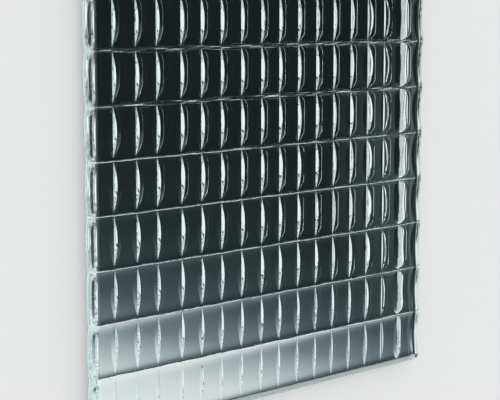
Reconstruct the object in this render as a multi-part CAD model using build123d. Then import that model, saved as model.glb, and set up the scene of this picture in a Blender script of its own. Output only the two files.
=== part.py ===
"""Cast glass panel with a smooth face and a back of raised pads.

The panel is one casting. It lies on its back: the pads rest at Z = 0 and the smooth face
is on top. Columns of pads run along Y and rows of pads run along X. Each row of pads ends
in rounded shoulders that meet the next row in a sharp straight groove. Between two
neighbouring pads of a row there is a groove shaped like a lens, deepest halfway along the
pads and pointed where their shoulders begin.
"""

import os
from math import acos, degrees

from build123d import *

# Overall size
panel_width = 300.0
panel_height = 300.0
panel_thickness = 10.0
rim_width = 2.5  # plain strip outside the outer pads

# Pads
column_count = 17
row_count = 9
# How far each line between two columns lies from its even place, as a share of the column pitch
column_shift_shares = [
    -0.04, -0.03, -0.05, 0.07, 0.04, 0.00, 0.02, 0.05,
    0.00, 0.02, 0.02, -0.03, -0.04, -0.01, 0.00, -0.04,
]

# Straight grooves between the rows, with a long shoulder above and a short one below
row_groove_depth = 1.2
lower_shoulder = 3.2
upper_shoulder = 1.8

# Lens grooves between the pads of a row
lens_depth = 1.6
lens_width = 9.6
lens_end_gap = 0.2  # from a groove's point to the shoulder

# Edges, softened in the kiln
side_wave_height = 1.1
corner_radius = 3.0
face_edge_radius = 1.8
back_edge_radius = 2.4

overrun = 1.0  # how far a cutting shape runs past what it cuts

# Worked out from the sizes above
column_pitch = (panel_width - 2 * rim_width) / column_count
row_pitch = (panel_height - 2 * rim_width) / row_count
first_column_line = rim_width - panel_width / 2
first_row_line = rim_width - panel_height / 2
row_lines = [first_row_line + row_pitch * i for i in range(row_count + 1)]
lens_length = row_pitch - lower_shoulder - upper_shoulder - 2 * lens_end_gap


def column_line(index):
    """X of the line between the pads of column index - 1 and column index."""
    shift_share = column_shift_shares[(index - 1) % len(column_shift_shares)]
    return first_column_line + column_pitch * (index + shift_share)


def side_wave(row_end_x, crest_x):
    """Tangent arcs up one side, turning at row_end_x on the row lines and at crest_x between them."""
    ends = [-panel_height / 2, *row_lines[1:-1], panel_height / 2]
    turns = [(row_end_x, ends[0])]
    for low, high in zip(ends, ends[1:]):
        turns += [(crest_x, (low + high) / 2), (row_end_x, high)]
    joins = [((x + next_x) / 2, (y + next_y) / 2) for (x, y), (next_x, next_y) in zip(turns, turns[1:])]
    first = TangentArc(turns[0], joins[0], tangent=(0, 1))
    last = TangentArc(turns[-1], joins[-1], tangent=(0, -1))
    return [first, *map(ThreePointArc, joins, turns[1:], joins[1:]), last]


def panel_outline():
    """The panel seen from above: straight on three sides and hollowed between the row lines on the right."""
    right = panel_width / 2
    top = panel_height / 2
    wave = side_wave(right, right - side_wave_height)
    outline = make_face([*wave, Polyline((right, -top), (-right, -top), (-right, top), (right, top))])
    return fillet([v for v in outline.vertices() if abs(v.Y) > row_lines[-1]], corner_radius)


def rounded_slab():
    """The whole panel before its back is shaped, with the long edges rounded."""
    slab = extrude(panel_outline(), amount=panel_thickness)
    slab = fillet(slab.faces().sort_by(Axis.Z)[-1].edges(), face_edge_radius)
    return fillet(slab.faces().sort_by(Axis.Z)[0].edges(), back_edge_radius)


def row_relief():
    """A block as wide as the panel whose underside is the rows of pads, in section along Y."""
    top = panel_thickness + overrun
    outer_y = panel_height / 2 + overrun
    profile = [
        Polyline(
            (row_lines[-1], row_groove_depth),
            (outer_y, row_groove_depth),
            (outer_y, top),
            (-outer_y, top),
            (-outer_y, row_groove_depth),
            (row_lines[0], row_groove_depth),
        )
    ]
    for low, high in zip(row_lines, row_lines[1:]):
        pad_start = (low + lower_shoulder, 0)
        pad_end = (high - upper_shoulder, 0)
        profile.append(TangentArc(pad_start, (low, row_groove_depth), tangent=(-1, 0)))
        profile.append(Line(pad_start, pad_end))
        profile.append(TangentArc(pad_end, (high, row_groove_depth), tangent=(1, 0)))
    section = Plane.YZ * make_face(profile)
    return extrude(section, amount=panel_width / 2 + overrun, both=True)


def lens_cutter():
    """A slice of a wheel with a pointed rim, which cuts one lens groove about the origin."""
    wheel_radius = ((lens_length / 2) ** 2 + lens_depth**2) / (2 * lens_depth)
    base_half_width = lens_width / 2 * (lens_depth + overrun) / lens_depth
    point = Plane.XZ * make_face(
        Polyline((-base_half_width, -overrun), (base_half_width, -overrun), (0, lens_depth), close=True)
    )
    wheel_axis = Axis((0, 0, lens_depth - wheel_radius), (1, 0, 0))
    half_slice = degrees(acos((wheel_radius - lens_depth - overrun) / wheel_radius))
    return revolve(point, wheel_axis, revolution_arc=2 * half_slice).rotate(wheel_axis, -half_slice)


def glass_panel():
    """The finished casting."""
    cutter = lens_cutter()
    pad_middles = [low + lower_shoulder + lens_end_gap + lens_length / 2 for low in row_lines[:-1]]
    cutters = [
        Pos(column_line(column), middle, 0) * cutter
        for column in range(1, column_count)
        for middle in pad_middles
    ]
    return (rounded_slab() & row_relief()) - cutters


os.makedirs("parts", exist_ok=True)
export_step(glass_panel(), "parts/glass_panel.step")
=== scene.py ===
import bpy
import numpy as np
from mathutils import Matrix


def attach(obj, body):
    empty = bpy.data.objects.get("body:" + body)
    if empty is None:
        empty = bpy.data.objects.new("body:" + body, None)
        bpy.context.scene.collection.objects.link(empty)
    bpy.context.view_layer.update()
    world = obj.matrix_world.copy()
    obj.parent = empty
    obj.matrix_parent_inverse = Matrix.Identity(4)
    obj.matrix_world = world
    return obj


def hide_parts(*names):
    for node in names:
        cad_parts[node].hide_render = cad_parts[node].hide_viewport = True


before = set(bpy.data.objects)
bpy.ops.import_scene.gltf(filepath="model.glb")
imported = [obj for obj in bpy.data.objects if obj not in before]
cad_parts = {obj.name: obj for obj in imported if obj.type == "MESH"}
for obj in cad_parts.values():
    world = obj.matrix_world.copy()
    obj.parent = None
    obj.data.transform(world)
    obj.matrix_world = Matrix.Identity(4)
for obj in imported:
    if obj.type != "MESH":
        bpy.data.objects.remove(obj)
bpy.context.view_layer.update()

# Glass panel. One casting of clear glass with a faint aqua tint. The face that cooled in the open is
# smooth. The back took the mould's rows of pads, which meet in crinkled straight grooves, and between
# two pads of a row the mould left a groove shaped like a lens.
MM = 0.001  # the panel's sizes are in millimetres
column_count = 17
row_count = 9
panel_half = 150.0
thickness = 10.0
edge_inset = 2.2  # how far the rounded edge reaches in from the outline
inner_half = panel_half - edge_inset
column_pitch = 2 * inner_half / column_count
row_pitch = 2 * inner_half / row_count
column_numbers = np.arange(column_count + 1)
# How far each column line lies from its even place, as a share of the column pitch
column_shift_shares = np.array([
    0.00, -0.05, -0.03, -0.08, 0.06, 0.03, 0.01, 0.03, 0.06,
    0.01, 0.02, 0.02, -0.01, -0.02, -0.03, -0.03, -0.05, 0.00,
])
column_lines = -inner_half + column_pitch * (column_numbers + column_shift_shares)
row_lines = -inner_half + row_pitch * np.arange(row_count + 1)
chance = np.random.default_rng(7)


def across(first, last):
    """Values that change evenly from the first column line to the last."""
    return np.linspace(first, last, column_count + 1)


# Lens grooves, by row from the lowest up and by column line from the left. They are small in the lowest
# rows and fill out towards the right, and the last but one line has the widest. Some right walls have a
# flat core in the middle, above all in the two upper rows and on the last line but two.
lens_shape = (row_count, column_count + 1)
lens_sizes = (0.95 + 0.012 * column_numbers) * chance.uniform(0.94, 1.06, lens_shape)
lens_sizes[:4] *= np.array([[0.50], [0.74], [0.86], [0.95]])
lens_sizes[:, 0] = 0.05
lens_sizes[:, -1] = 0.9
core_start, core_end = 0.30, 0.70  # shares of the right wall
lens_cores = np.clip((column_numbers - 9) / 5, 0, 1) * chance.uniform(0, 1, lens_shape)
lens_cores[:-2] *= 0.15
lens_cores[:, -3] = 1
lens_cores[:, -2:] = 0
core_fade_swell = 0.5  # a core is whole where the groove is fuller than this
lens_powers = across(2.0, 2.4)
lens_powers[-2] = 8
lens_low_ends = across(0.06, 0.02)  # shares of the way up the row, as are the high ends
lens_high_ends = across(0.985, 0.99)
lens_depths = across(1.60, 1.37) * lens_sizes * (1 - (core_end - core_start) * lens_cores)
lens_depths[:, -4:-1] *= [0.97, 0.97, 1.30]
lens_bows = 0.55 * lens_depths  # how far the deepest line bows to the right at a groove's ends
right_walls = 3.9 * lens_sizes
right_walls[:, -4:-1] *= [1.45, 1.45, 2.25]
left_wall_slope = 0.483
left_walls = lens_depths / left_wall_slope
empty_swell = 0.001  # stands for no groove, because places are divided by the swell
least_swell = 0.4  # the grid lines beside a groove draw together no further than this

# Lips. Each is a low ridge outside a right wall, and some lips turn in below with a wider, steeper hook.
lip_reach = 2.6  # from the right wall to the lip
lip_places = right_walls + lip_reach
lip_powers = across(4, 10)
lip_turns = across(0.8, 1.0)
lip_widths = across(0.10, 0.40)
lip_row_slopes = np.clip(np.linspace(0.05, 0.60, row_count), 0, 0.36)
lip_slopes = lip_row_slopes[:, None] * across(0.78, 1.0)
lip_middle_share, lip_half_share = 0.52, 0.47  # of the row
lip_clearance = 4  # how many of its widths a lip keeps from the right wall
lip_fade_swell = 1 / 3  # a lip is whole where the groove is fuller than this
hook_marks = np.clip(chance.uniform(-0.3, 1.0, lens_shape), 0, 1)
hook_middle, hook_half = -0.60, 0.20  # along the lip, whose ends are -1 and 1
hook_width = 0.35
hook_steepness = 0.28

# Grid lines beside a lens groove, as shares of its right wall, of its lip's width, of the room up to the
# next groove and of that groove's left wall. The creased ones are numbered from the deepest line.
right_wall_shares = np.array([0.00, 0.19, core_start, core_end, 0.81, 1.00])
lip_shares = np.array([2.0, 1.0, 0.0])
between_shares = np.array([0.2, 0.4, 0.6, 0.8])
left_wall_shares = np.array([1.00, 0.67, 0.33])
lines_per_column = len(right_wall_shares) + len(lip_shares) + len(between_shares) + len(left_wall_shares)
creased_lines = [0, 2, 3, 5, 7, 8, 13]

# Grid lines along a row, measured from the row line below it and from the row line above it. The creased
# ones bound the V of the row line.
row_steps_up = np.array([0, 0.2, 0.4, 0.6, 0.8, 1.0, 1.25, 1.5, 1.8, 2.2, 2.8, 4.2, 6.8, 12.2])
row_steps_down = np.array([15.0, 10.4, 6.4, 4.2, 2.8, 2.2, 1.8, 1.5, 1.25, 1.0, 0.8, 0.6, 0.4, 0.2])
lines_per_row = len(row_steps_up) + len(row_steps_down)
creased_steps = [0, 3, lines_per_row - 2]
row_groove_up = row_steps_up[3]
row_groove_down = row_steps_down[-2]
row_groove_depth = 0.28

# Pads' ends: how far they bow away to the row lines, and over what length
bow_height = 0.5
low_bow_length = 4.2
high_bow_length = 6.2

# Crinkle and fibres of the row lines, from the lowest line up. A line strays, and its depth is uneven, by
# sums of waves along X. From some X on it turns into crossing fibres, as far as its share says.
wander_waves = np.array([43.0, 19.0, 9.0, 5.3, 3.1])
wander_heights = np.array([0.10, 0.07, 0.055, 0.04, 0.025])
stray_phases, depth_phases = chance.uniform(0, 2 * np.pi, (2, row_count + 1, len(wander_waves)))
stray_reach = 4.0
fibre_starts = np.array([-40.0, -40.0, -40.0, -40.0, -60.0, -120.0, -200.0, -230.0, -230.0, -230.0])
fibre_growth = 120.0
fibre_shares = np.array([0.0, 0.1, 0.1, 0.2, 0.3, 0.5, 0.9, 1.0, 1.0, 1.0])
least_fibre_share = 0.05
fibre_lengths = np.array([23.0, -37.0, 61.0])  # a negative one leans the other way
fibre_widths = np.array([1.1, 0.8, 1.4])
fibre_steepness = 0.06
fibre_reach = 2.2
fibre_fade = 0.7
end_length = 4.0  # straying and fibres run out over this length at the panel's two ends

# Outline: the right side's hollows, the left side's pinches and the corners
side_hollow = 1.1
side_pinch = 0.5
side_start = 130.0  # X from which a side's waves grow
side_length = 17.0
corner_patch = 2.0

# Edge. The left side leans in towards the back, and within each row it has a ledge.
back_round = 0.9
face_round = 1.9
left_side_width = 1.0  # border places this near the left side belong to it
left_lean = 0.9
lean_height = 3.0
relief_height = 4.0  # the back's relief runs out up the edge by here
ledge_half_share = 0.42  # of the row
ledge_points = np.array([
    (2.20, 2.80), (2.20, 4.20), (2.20, 5.40), (2.20, 6.60), (1.26, 6.78),
    (0.33, 6.95), (0.30, 8.40), (0.24, 9.75), (0.13, 9.94), (0.00, 10.00),
])
ledge_turns = [8, 10, 12]  # the edge's rings where the ledge is creased
ledge_crease_start = 0.1

# Smooth face: coarser than the back, with a strip round it that joins it to the edge
face_step = 4  # one grid line for this many on the back
face_strip = 1.5


def row_places():
    """Grid lines along Y: the same steps in each row, crowded towards its two row lines."""
    steps = np.concatenate([row_steps_up, row_pitch - row_steps_down])
    return np.append((row_lines[:-1, None] + steps).ravel(), row_lines[-1])


def row_share(v):
    """The row at each place along Y, and the share of the way up that row."""
    row = np.clip(np.searchsorted(row_lines, v, side="right") - 1, 0, row_count - 1)
    return row, (v - row_lines[row]) / row_pitch


def nearest_line(v):
    """The row line nearest to each place along Y, and how far away it is."""
    line = np.clip(np.rint((v - row_lines[0]) / row_pitch), 0, row_count).astype(int)
    return line, np.abs(v - row_lines[line])


def end_fade(v):
    """1 along the panel, and falling evenly to 0 at its two outer row lines."""
    return np.clip((inner_half - np.abs(v)) / end_length, 0, 1)


def lens_swell(v, column):
    """How full the lens grooves on a column line are at each place along Y.

    It is 1 minus a power of the share of the way from the groove's middle to its end.
    """
    middle = (lens_low_ends[column] + lens_high_ends[column]) / 2
    half = (lens_high_ends[column] - lens_low_ends[column]) / 2
    return np.clip(1 - np.abs((row_share(v)[1] - middle) / half) ** lens_powers[column], empty_swell, 1)


def lip_path(v, column):
    """How far a groove's lip lies from the deepest line, how wide and how steep it is, along Y.

    The distance falls off from mid row as a power, sooner downwards than upwards, and the lip stays clear
    of the right wall. A hook adds to the width and the slope, by 1 minus the square of the share of the
    way from the hook's middle to its end.
    """
    row, share = row_share(v)
    along = (share - lip_middle_share) / lip_half_share
    fall = np.abs(along / np.where(along > 0, 1, lip_turns[column])) ** lip_powers[column]
    hook = hook_marks[row, column] * np.clip(1 - ((along - hook_middle) / hook_half) ** 2, 0, 1)
    width = lip_widths[column] + hook_width * hook
    slope = lip_slopes[row, column] * (1 + hook_steepness * hook)
    wall = right_walls[row, column] * np.maximum(lens_swell(v, column), least_swell)
    place = np.maximum(lip_places[row, column] * (1 - fall), wall + lip_clearance * width)
    return place, width, slope


def column_places(v):
    """Grid lines along X for each place along Y, as an array of lines by places.

    The lines beside a groove's deepest line lie at fixed shares of its walls and of its lip, so they
    swell and shrink with the groove. The lines between two grooves share out the room there.
    """
    row = row_share(v)[0]
    column = column_numbers[:, None]
    swell = lens_swell(v, column)
    wall_swell = np.maximum(swell, least_swell)
    lip_place, lip_width, _ = lip_path(v, column)
    deepest = column_lines[column] + lens_bows[row, column] * (1 - swell)
    right = right_wall_shares[:, None] * (right_walls[row, column] * wall_swell)[:-1, None]
    lip = lip_place[:-1, None] - lip_shares[:, None] * lip_width[:-1, None]
    left = left_wall_shares[:, None] * (left_walls[row, column] * wall_swell)[1:, None]
    groove = deepest[:-1, None] + np.concatenate([right, lip], 1)
    next_groove = deepest[1:, None] - left
    between = groove[:, -1:] + (next_groove[:, :1] - groove[:, -1:]) * between_shares[:, None]
    lines = np.concatenate([groove, between, next_groove], 1).reshape(-1, len(v))
    return np.vstack([lines, deepest[-1:]])


def wander(u, line, phases):
    """A sum of sines along X, one for each length of wave, with phases that differ from line to line."""
    turns = 2 * np.pi * u[..., None] / wander_waves
    return (np.sin(turns + phases[line]) * wander_heights).sum(-1)


def row_fibres(u, v):
    """Fine crossing ridges along the row lines: a sum of sines, each long along X and short along Y.

    A sine's height is a share of its length along Y, so that all are about as steep.
    """
    phases = stray_phases[0, :len(fibre_widths)]
    turns = u[..., None] / fibre_lengths + v[..., None] / fibre_widths + phases
    return (np.sin(2 * np.pi * turns) * fibre_widths).sum(-1) * fibre_steepness


def relief(u, v):
    """Height of the back above the pads, for the whole grid of places.

    It is a sum. A pad's two ends bow away to the row lines as squares of the nearness to the line. Each
    row line is a narrow V, which gives way to fibres as far as the line is fibrous. Each lens groove is a
    ramp on either side of its deepest line, with its depth and its two widths swelling along the row, and
    the right ramp is level in the middle where it has a core. Its lip is a low ridge outside the right
    wall, which rises slowly and falls steeply.
    """
    row = row_share(v)[0]
    above = v - row_lines[row]
    below = row_lines[row + 1] - v
    low_bow = bow_height * np.clip(1 - above / low_bow_length, 0, 1) ** 2
    high_bow = bow_height * np.clip(1 - below / high_bow_length, 0, 1) ** 2

    line, distance = nearest_line(v)
    fibrous = np.clip((u - fibre_starts[line]) / fibre_growth, 0, 1) * fibre_shares[line]
    row_v = np.maximum(1 - above / row_groove_up, 1 - below / row_groove_down).clip(0, 1)
    row_groove = row_groove_depth * (1 - fibrous) * row_v * (1 + wander(u, line, depth_phases))
    near_line = np.clip((fibre_reach - distance) / fibre_fade, 0, 1) * end_fade(v)
    fibres = row_fibres(u, v) * near_line * np.maximum(fibrous, least_fibre_share)

    column = np.minimum(np.arange(len(u)) // lines_per_column, column_count - 1)[:, None]
    swell = lens_swell(v, column)
    next_swell = lens_swell(v, column + 1)
    beyond = u - column_lines[column] - lens_bows[row, column] * (1 - swell)
    before = column_lines[column + 1] + lens_bows[row, column + 1] * (1 - next_swell) - u
    wall = right_walls[row, column] * swell
    way = beyond / wall
    core = lens_cores[row, column] * np.minimum(swell / core_fade_swell, 1)
    level_way = core * (np.clip(way, core_start, core_end) - core_start)
    slope_way = (way - level_way) / (1 - core * (core_end - core_start))
    right_wall = lens_depths[row, column] * swell * np.clip(1 - slope_way, 0, 1)
    left_way = before / (left_walls[row, column + 1] * next_swell)
    left_wall = lens_depths[row, column + 1] * next_swell * np.clip(1 - left_way, 0, 1)

    lip_place, lip_width, lip_slope = lip_path(v, column)
    lip_rise = np.clip((beyond - wall) / (lip_place - lip_width - wall), 0, 1)
    lip_fall = np.clip((lip_place - beyond) / lip_width, 0, 1)
    lip_height = lip_slope * lip_width * np.minimum(swell / lip_fade_swell, 1)
    lip = lip_height * np.minimum(lip_rise, lip_fall)
    return low_bow + high_bow + row_groove + fibres + right_wall + left_wall + lip


def panel_plan(u, v):
    """Where a grid place lies on the panel: corners rounded and the two sides waved.

    A square corner patch becomes a quarter disc: each coordinate is scaled by the root of 1 minus half
    the square of the other. The right side is hollowed between the row lines as the square of a sine, and
    the left side is pinched at them as a high power of a cosine. Both grow as a square towards the side.
    """
    flat_half = inner_half - corner_patch
    corner_u = np.clip((np.abs(u) - flat_half) / corner_patch, 0, 1)
    corner_v = np.clip((np.abs(v) - flat_half) / corner_patch, 0, 1)
    x = u - np.sign(u) * corner_patch * corner_u * (1 - np.sqrt(1 - corner_v**2 / 2))
    y = v - np.sign(v) * corner_patch * corner_v * (1 - np.sqrt(1 - corner_u**2 / 2))
    half_turns = np.pi * (v - row_lines[0]) / row_pitch
    hollow = side_hollow * np.sin(half_turns) ** 2
    pinch = side_pinch * np.abs(np.cos(half_turns)) ** 6
    x = x - hollow * np.clip((u - side_start) / side_length, 0, 1) ** 2
    x = x + pinch * np.clip((-u - side_start) / side_length, 0, 1) ** 2
    return x, y


def panel_back(u, v):
    """Points of the back: the plan, with the row lines strayed along Y, and the relief."""
    x, y = panel_plan(u, v)
    line, distance = nearest_line(v)
    near = np.clip(1 - distance / stray_reach, 0, 1) ** 2 * end_fade(v)
    return np.stack([x, y + wander(u, line, stray_phases) * near, relief(u, v)], -1)


def edge_profiles():
    """The section of the panel's edge from back to face, plain and with the left side's ledge.

    Each is a list of (reach out, height). Both begin with a quarter circle out from the back. The plain
    one goes on with a straight side and a quarter ellipse in to the face, the other with the ledge.
    """
    back_turn = np.linspace(0, np.pi / 2, 5)
    face_turn = np.linspace(0, np.pi / 2, 7)[1:]
    side_top = thickness - face_round
    back_reach = edge_inset - back_round + np.sin(back_turn) * back_round
    back_edge = np.column_stack([back_reach, (1 - np.cos(back_turn)) * back_round])
    side = np.column_stack([np.full(4, edge_inset), np.linspace(back_round, side_top, 5)[1:]])
    face_edge = np.column_stack([np.cos(face_turn) * edge_inset, side_top + np.sin(face_turn) * face_round])
    return np.vstack([back_edge, side, face_edge]), np.vstack([back_edge, ledge_points])


def edge_rings(ring, left_side, ledged):
    """Rings of points up the panel's edge, from the ring of points round the back.

    Each point carries the edge's section out along the ring's normal there. The section goes over from
    plain to ledged by the share given for the point, and leans in on the left side as a square.
    """
    along = np.roll(ring, -1, 0)[:, :2] - np.roll(ring, 1, 0)[:, :2]
    out = np.stack([along[:, 1], -along[:, 0]], -1)
    out /= np.linalg.norm(out, axis=1, keepdims=True)
    plain, ledge = edge_profiles()
    section = plain[:, None] + (ledge - plain)[:, None] * ledged[:, None]
    reach, height = section[:, :, 0], section[:, :, 1]
    reach = reach - left_lean * left_side * np.clip(1 - height / lean_height, 0, 1) ** 2
    height = height + ring[:, 2] * np.clip(1 - height / relief_height, 0, 1)
    return np.concatenate([ring[:, :2] + reach[:, :, None] * out, height[:, :, None]], -1)


def grid_faces(index):
    """Quads over a two-way grid of vertex numbers, in the order that makes them face upwards."""
    corners = [index[:-1, :-1], index[1:, :-1], index[1:, 1:], index[:-1, 1:]]
    return np.stack(corners, -1).reshape(-1, 4)


def grid_border(index):
    """The vertex numbers round a grid's border, in order."""
    return np.concatenate([index[:-1, 0], index[-1, :-1], index[:0:-1, -1], index[0, :0:-1]])


def crease_edges(mesh, grid_shape, ledged):
    """Makes sharp the mesh's edges along the back's creased lines and steps and along the ledge's turns.

    Vertices are numbered by line and step on the back, and then by ring and spot up the edge.
    """
    ends = np.empty(2 * len(mesh.edges), int)
    mesh.edges.foreach_get("vertices", ends)
    ends = ends.reshape(-1, 2)
    back_size = grid_shape[0] * grid_shape[1]
    on_back = (ends < back_size).all(1)
    line, step = np.divmod(ends, grid_shape[1])
    on_line = (line[:, 0] == line[:, 1]) & np.isin(line[:, 0] % lines_per_column, creased_lines)
    on_step = (step[:, 0] == step[:, 1]) & np.isin(step[:, 0] % lines_per_row, creased_steps)
    turn, spot = np.divmod(ends - back_size, len(ledged))
    on_turn = (turn[:, 0] == turn[:, 1]) & np.isin(turn[:, 0], ledge_turns)
    on_ledge = on_turn & (ledged[spot] > ledge_crease_start).all(1)
    creases = mesh.attributes.new("sharp_edge", "BOOLEAN", "EDGE")
    creases.data.foreach_set("value", (on_back & (on_line | on_step)) | on_ledge)


def panel_mesh():
    """The closed skin of the panel: the back's grid, the edge's rings and a coarser smooth face.

    The left side is ledged in each row by 1 minus a power of the share of the way from mid row. A strip
    of seven-sided faces joins the edge's last ring to the face.
    """
    places = row_places()
    u = column_places(places)
    v = np.broadcast_to(places, u.shape)
    back = panel_back(u, v)
    index = np.arange(u.size).reshape(u.shape)

    border = grid_border(index)
    left_side = u.ravel()[border] < -inner_half + left_side_width
    mid_row = (row_share(v.ravel()[border])[1] - 0.5) / ledge_half_share
    ledged = np.clip(1 - mid_row**10, 0, 1) * left_side
    edge = edge_rings(back.reshape(-1, 3)[border], left_side, ledged)
    rings = np.vstack([border, u.size + np.arange(edge[:, :, 0].size).reshape(len(edge), -1)])
    beside = np.roll(rings, -1, 1)
    edge_quads = np.stack([rings[:-1], beside[:-1], beside[1:], rings[1:]], -1).reshape(-1, 4)

    x, y = panel_plan(u, v)
    face = np.stack([x, y], -1)[::face_step, ::face_step] * (1 - face_strip / inner_half)
    face = np.concatenate([face, np.full(face.shape[:2] + (1,), thickness)], -1)
    face_index = rings[-1, -1] + 1 + np.arange(face[:, :, 0].size).reshape(face.shape[:2])
    face_border = grid_border(face_index)
    last_ring = [np.roll(rings[-1], -k)[::face_step] for k in range(face_step + 1)]
    strip = np.column_stack([face_border, *last_ring, np.roll(face_border, -1)])

    points = np.vstack([back.reshape(-1, 3), edge.reshape(-1, 3), face.reshape(-1, 3)]) * MM
    quads = np.vstack([grid_faces(index)[:, ::-1], edge_quads, grid_faces(face_index)])
    mesh = bpy.data.meshes.new("cast_glass")
    mesh.from_pydata(points.tolist(), [], [*quads.tolist(), *strip.tolist()])
    mesh.polygons.foreach_set("use_smooth", np.ones(len(mesh.polygons), bool))
    mesh.update()
    crease_edges(mesh, u.shape, ledged)
    return mesh


def aqua_glass():
    """Clear glass: full transmission, with the tint in the depth of the glass and faint streaks on it."""
    material = bpy.data.materials.new("aqua cast glass")
    material.use_nodes = True
    nodes, links = material.node_tree.nodes, material.node_tree.links
    shader = nodes["Principled BSDF"]
    shader.inputs["Base Color"].default_value = (0.94, 1.0, 0.99, 1)
    shader.inputs["Roughness"].default_value = 0.0
    shader.inputs["IOR"].default_value = 1.52
    shader.inputs["Transmission Weight"].default_value = 1.0
    tint = nodes.new("ShaderNodeVolumeAbsorption")
    tint.inputs["Color"].default_value = (0.75, 0.96, 0.95, 1)
    tint.inputs["Density"].default_value = 3.0
    place = nodes.new("ShaderNodeTexCoord")
    stretch = nodes.new("ShaderNodeVectorMath")
    stretch.operation = "MULTIPLY"
    stretch.inputs[1].default_value = (420, 12, 60)
    streaks = nodes.new("ShaderNodeTexNoise")
    streaks.inputs["Scale"].default_value = 1.0
    streaks.inputs["Detail"].default_value = 2.0
    bump = nodes.new("ShaderNodeBump")
    bump.inputs["Distance"].default_value = 0.006 * MM
    links.new(tint.outputs[0], nodes["Material Output"].inputs["Volume"])
    links.new(place.outputs["Object"], stretch.inputs[0])
    links.new(stretch.outputs[0], streaks.inputs["Vector"])
    links.new(streaks.outputs["Fac"], bump.inputs["Height"])
    links.new(bump.outputs[0], shader.inputs["Normal"])
    return material


panel = bpy.data.objects.new("cast_glass", panel_mesh())
bpy.context.scene.collection.objects.link(panel)
panel.data.materials.append(aqua_glass())
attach(panel, "root")
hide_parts("glass_panel")

# Floor. A plain pale studio floor with an opening under the panel, a little smaller than the panel, so that
# the glass rests on the edge and shows the dark below. On the right the opening is edged with a nearly black
# strip, which is painted shadow: a contact shadow under and just beyond the panel's right edge.
floor_level = -0.2 * MM
floor_half = 6.0
opening = np.array([-147.0, 149.0, -147.5, 149.0]) * MM  # left, right, front and back
# Outer edge of the painted shadow strip, which reaches past the opening only on the right
shadow_strip_edge = np.array([-147.0, 151.0, -147.5, 149.0]) * MM
ring_quads = [(k, (k + 1) % 4, 4 + (k + 1) % 4, 4 + k) for k in range(4)]  # between two rings of four corners


def level_ring(name, outer, inner, colour):
    """A level ring between two rectangles (left, right, front, back), painted one colour."""
    corner_sides = ((0, 2), (1, 2), (1, 3), (0, 3))
    corners = [(box[i], box[j], floor_level) for box in (outer, inner) for i, j in corner_sides]
    ring = bpy.data.meshes.new(name)
    ring.from_pydata(corners, [], ring_quads)
    paint = bpy.data.materials.new(name)
    paint.use_nodes = True
    paint.node_tree.nodes["Principled BSDF"].inputs["Base Color"].default_value = colour
    paint.node_tree.nodes["Principled BSDF"].inputs["Roughness"].default_value = 0.8
    ring.materials.append(paint)
    piece = bpy.data.objects.new(name, ring)
    bpy.context.scene.collection.objects.link(piece)


level_ring("floor", (-floor_half, floor_half, -floor_half, floor_half), shadow_strip_edge, (0.80, 0.81, 0.815, 1))
# Painted shadow: a nearly black strip along the opening's right edge, standing in for the panel's contact
# shadow
level_ring("painted_shadow_strip", shadow_strip_edge, opening, (0.01, 0.013, 0.014, 1))

# Backdrop. A dark box below the opening that glows all over as a light box. Its walls glow near the top, like
# a ring of light round a dark field, and the glow of its bottom is graded from white in front to nearly
# black, with a dim glowing patch on the right.
backdrop_half = 0.8
backdrop_depth = 0.30
backdrop_top = floor_level - 1 * MM
patch_x, patch_y = 0.50, -0.06
patch_width, patch_length = 0.13, 0.17


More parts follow.
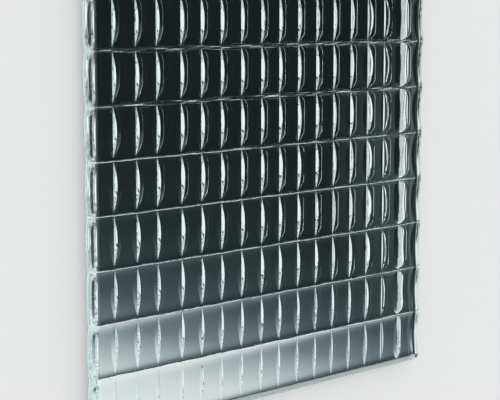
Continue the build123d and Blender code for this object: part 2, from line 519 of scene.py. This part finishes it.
def backdrop_glow():
    """A glow: white walls that fade out downwards, and a bottom with two parts.

    The bottom's glow runs along a slanting line from front to back, and an oval patch of glow that fades out
    evenly from its middle is added to it.
    """
    material = bpy.data.materials.new("graded backdrop glow")
    material.use_nodes = True
    nodes, links = material.node_tree.nodes, material.node_tree.links
    nodes.remove(nodes["Principled BSDF"])
    glow = nodes.new("ShaderNodeEmission")
    place = nodes.new("ShaderNodeTexCoord")
    parts = nodes.new("ShaderNodeSeparateXYZ")
    slant = nodes.new("ShaderNodeVectorMath")
    slant.operation = "DOT_PRODUCT"
    slant.inputs[1].default_value = (0.25, 1.0, 0)
    span = nodes.new("ShaderNodeMapRange")
    span.inputs["From Min"].default_value = -0.21
    span.inputs["From Max"].default_value = 0.20
    ramp = nodes.new("ShaderNodeValToRGB")
    stops = ramp.color_ramp.elements
    stops[0].color = (0.85, 0.87, 0.87, 1)
    stops[1].color = (0.007, 0.010, 0.0115, 1)
    stops.new(0.063).color = (0.72, 0.735, 0.745, 1)
    stops.new(0.124).color = (0.39, 0.45, 0.475, 1)
    stops.new(0.168).color = (0.172, 0.221, 0.24, 1)
    stops.new(0.241).color = (0.064, 0.088, 0.099, 1)
    stops.new(0.317).color = (0.032, 0.046, 0.050, 1)
    stops.new(0.415).color = (0.0155, 0.0235, 0.0255, 1)
    stops.new(0.610).color = (0.0093, 0.014, 0.0156, 1)
    patch_place = nodes.new("ShaderNodeMapping")
    patch_place.inputs["Location"].default_value = (-patch_x / patch_width, -patch_y / patch_length, 0)
    patch_place.inputs["Scale"].default_value = (1 / patch_width, 1 / patch_length, 0)
    patch = nodes.new("ShaderNodeTexGradient")
    patch.gradient_type = "SPHERICAL"
    bottom = nodes.new("ShaderNodeMix")
    bottom.data_type = "RGBA"
    bottom.blend_type = "ADD"
    bottom.inputs["B"].default_value = (0.047, 0.068, 0.069, 1)
    wall = nodes.new("ShaderNodeMapRange")
    wall.interpolation_type = "SMOOTHSTEP"
    wall.inputs["From Min"].default_value = -backdrop_depth * 0.98
    wall.inputs["From Max"].default_value = -backdrop_depth * 0.55
    both = nodes.new("ShaderNodeMix")
    both.data_type = "RGBA"
    both.inputs["B"].default_value = (1.05, 1.07, 1.07, 1)
    links.new(place.outputs["Object"], slant.inputs[0])
    links.new(slant.outputs["Value"], span.inputs["Value"])
    links.new(span.outputs[0], ramp.inputs[0])
    links.new(place.outputs["Object"], patch_place.inputs[0])
    links.new(patch_place.outputs[0], patch.inputs[0])
    links.new(patch.outputs["Fac"], bottom.inputs["Factor"])
    links.new(ramp.outputs[0], bottom.inputs["A"])
    links.new(place.outputs["Object"], parts.inputs[0])
    links.new(parts.outputs["Z"], wall.inputs["Value"])
    links.new(wall.outputs[0], both.inputs["Factor"])
    links.new(bottom.outputs["Result"], both.inputs["A"])
    links.new(both.outputs["Result"], glow.inputs["Color"])
    links.new(glow.outputs[0], nodes["Material Output"].inputs["Surface"])
    return material


backdrop_corners = [
    (x * backdrop_half, y * backdrop_half, z)
    for z in (backdrop_top, -backdrop_depth)
    for x, y in ((-1, -1), (1, -1), (1, 1), (-1, 1))
]
backdrop_mesh = bpy.data.meshes.new("backdrop")
backdrop_mesh.from_pydata(backdrop_corners, [], [(4, 5, 6, 7), *ring_quads])
backdrop = bpy.data.objects.new("backdrop", backdrop_mesh)
bpy.context.scene.collection.objects.link(backdrop)
backdrop.data.materials.append(backdrop_glow())

# Studio light. An even white tent round the panel, with two dark flags in it: one where the smooth face
# would mirror the tent into the camera, and one behind the camera, which the grooves would throw back.
# The flags are stretched along Y, and light that falls on a dull surface doesn't see them.
flag_edges = ((45.5, 8.5, 11), (-41, 11, 14))  # lean from upright towards +X, inner and outer radius, degrees
flag_tip = -0.05  # the Y of the direction to their middles, once squeezed
flag_squeeze = 0.2
flag_strength = 0.03
world = bpy.data.worlds.new("studio")
bpy.context.scene.world = world
world.use_nodes = True
world_nodes, world_links = world.node_tree.nodes, world.node_tree.links
world_nodes["Background"].inputs["Color"].default_value = (1, 1, 1, 1)
place = world_nodes.new("ShaderNodeTexCoord")
squeeze = world_nodes.new("ShaderNodeVectorMath")
squeeze.operation = "MULTIPLY"
squeeze.inputs[1].default_value = (1.0, flag_squeeze, 1.0)
heading = world_nodes.new("ShaderNodeVectorMath")
heading.operation = "NORMALIZE"
world_links.new(place.outputs["Generated"], squeeze.inputs[0])
world_links.new(squeeze.outputs[0], heading.inputs[0])
flags = []
for lean, inner, outer in np.radians(flag_edges):
    nearness = world_nodes.new("ShaderNodeVectorMath")
    nearness.operation = "DOT_PRODUCT"
    nearness.inputs[1].default_value = (np.sin(lean), flag_tip, np.cos(lean))
    flag = world_nodes.new("ShaderNodeMapRange")
    flag.interpolation_type = "SMOOTHSTEP"
    flag.inputs["From Min"].default_value = np.cos(outer)
    flag.inputs["From Max"].default_value = np.cos(inner)
    flag.inputs["To Min"].default_value = 1.0
    flag.inputs["To Max"].default_value = flag_strength
    world_links.new(heading.outputs[0], nearness.inputs[0])
    world_links.new(nearness.outputs["Value"], flag.inputs["Value"])
    flags.append(flag)
darkest = world_nodes.new("ShaderNodeMath")
darkest.operation = "MINIMUM"
ray = world_nodes.new("ShaderNodeLightPath")
seen = world_nodes.new("ShaderNodeMath")
seen_too = world_nodes.new("ShaderNodeMath")
seen_too.use_clamp = True
strength = world_nodes.new("ShaderNodeMix")
strength.inputs["A"].default_value = 1.0
world_links.new(flags[0].outputs[0], darkest.inputs[0])
world_links.new(flags[1].outputs[0], darkest.inputs[1])
world_links.new(ray.outputs["Is Camera Ray"], seen.inputs[0])
world_links.new(ray.outputs["Is Glossy Ray"], seen.inputs[1])
world_links.new(seen.outputs[0], seen_too.inputs[0])
world_links.new(ray.outputs["Is Transmission Ray"], seen_too.inputs[1])
world_links.new(seen_too.outputs[0], strength.inputs["Factor"])
world_links.new(darkest.outputs[0], strength.inputs["B"])
world_links.new(strength.outputs["Result"], world_nodes["Background"].inputs["Strength"])

# Camera. It stands to the left of the panel and looks along the face at the photo's angle, with the
# panel's +Y upwards in the frame. The glass needs many bounces, because light is mirrored inside it.
photo_width_px = 500
focal_px = 1555.0
yaw = np.radians(44.0)
tilt = np.radians(7.6)
distance = 1005.0
aim = np.array([-22.2, -16.5, thickness])
bounces = 64
back = np.array([-np.sin(yaw) * np.cos(tilt), np.sin(tilt), np.cos(yaw) * np.cos(tilt)])
right = np.cross((0, 1, 0), back)
right /= np.linalg.norm(right)
up = np.cross(back, right)
pose = np.eye(4)
pose[:3, 0], pose[:3, 1], pose[:3, 2] = right, up, back
pose[:3, 3] = (aim + back * distance) * MM
camera_data = bpy.data.cameras.new("camera")
camera_data.sensor_width = 36
camera_data.lens = focal_px / photo_width_px * camera_data.sensor_width
camera = bpy.data.objects.new("camera", camera_data)
bpy.context.scene.collection.objects.link(camera)
camera.matrix_world = Matrix(pose.tolist())

scene = bpy.context.scene
scene.camera = camera
scene.view_settings.view_transform = "Standard"
scene.cycles.max_bounces = bounces
scene.cycles.transmission_bounces = bounces
scene.cycles.glossy_bounces = bounces
